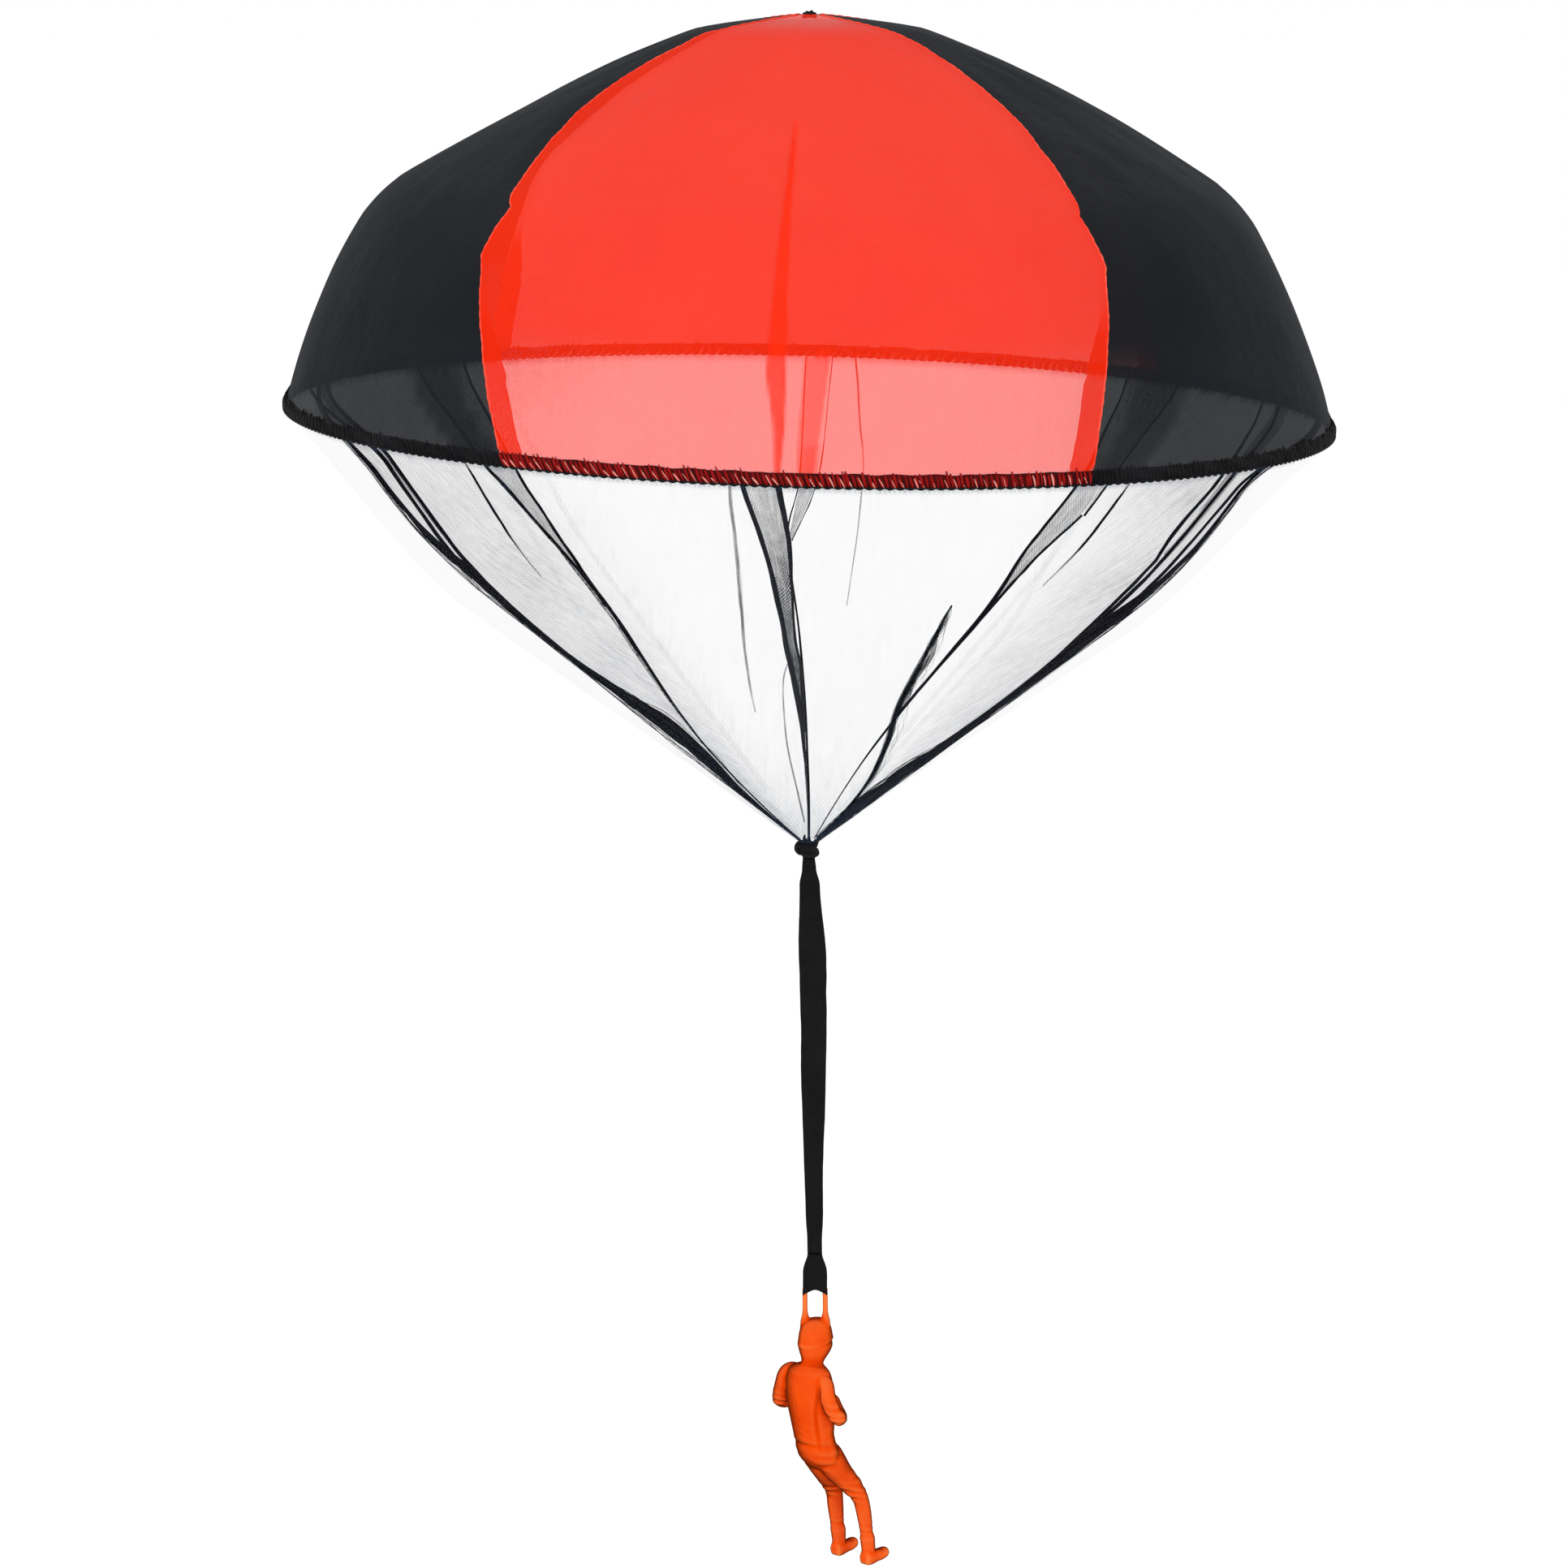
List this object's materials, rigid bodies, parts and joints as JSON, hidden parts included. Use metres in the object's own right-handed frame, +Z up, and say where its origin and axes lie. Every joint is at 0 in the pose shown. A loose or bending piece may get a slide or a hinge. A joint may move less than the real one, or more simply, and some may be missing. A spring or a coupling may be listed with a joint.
{
  "type": "toy parachute",
  "caption": "Hand-thrown toy parachute: a red and black cloth canopy over a black net skirt, gathered to a ribbon strap that carries an orange plastic paratrooper.",
  "frame": {"origin": "the apex of the canopy, where its four gores meet", "axes": "+Z up along the hanging line, -Y the front (a red gore), +X the right (a black gore)"},
  "size_m": [0.3624, 0.3622, 0.5549],
  "materials": {
    "red_cloth": "thin woven cloth, matte, lets light through",
    "black_cloth": "thin woven cloth, matte with a faint sheen",
    "black_thread": "overlocked thread, matte",
    "black_net": "fine open net, nearly clear in one layer",
    "black_ribbon": "soft ribbon with a low sheen",
    "orange_plastic": "moulded, smooth, semi-gloss"
  },
  "bodies": {
    "canopy": {"canopy_panel_front": "red_cloth", "canopy_panel_back": "red_cloth", "canopy_panel_left": "black_cloth", "canopy_panel_right": "black_cloth", "canopy_seam_front_left": "red_cloth", "canopy_seam_front_right": "red_cloth", "canopy_seam_back_left": "red_cloth", "canopy_seam_back_right": "red_cloth", "apex_thread_knot": "black_thread", "hem_front": "black_thread", "hem_back": "black_thread", "hem_left": "black_thread", "hem_right": "black_thread", "net_panel_front": "black_net", "net_panel_back": "black_net", "net_panel_left": "black_net", "net_panel_right": "black_net", "net_seam_front_right": "black_thread", "net_seam_right_back": "black_thread", "net_seam_back_left": "black_thread", "net_seam_left_front": "black_thread"},
    "knot": {"gather_knot": "black_ribbon"},
    "strap": {"strap_ply_front": "black_ribbon", "strap_ply_back": "black_ribbon"},
    "strap_end": {"strap_bight": "black_ribbon"},
    "figure": {"figure": "orange_plastic"}
  },
  "joints": [
    {"name": "strap_swing_side", "type": "hinge", "parent": "canopy", "child": "knot", "pos_m": [0, 0, -0.29072], "axis": [0, 1, 0], "range_deg": [-60, 60]},
    {"name": "strap_swing_fore", "type": "hinge", "parent": "knot", "child": "strap", "pos_m": [0, 0, -0.29072], "axis": [1, 0, 0], "range_deg": [-60, 60]},
    {"name": "strap_twist", "type": "hinge", "parent": "strap", "child": "strap_end", "pos_m": [0.0023, 0, -0.43682], "axis": [0, 0, 1], "range_deg": [-180, 180]},
    {"name": "figure_swing", "type": "hinge", "parent": "strap_end", "child": "figure", "pos_m": [0.0023, 0, -0.44852], "axis": [1, 0, 0], "range_deg": [-75, 75]}
  ]
}
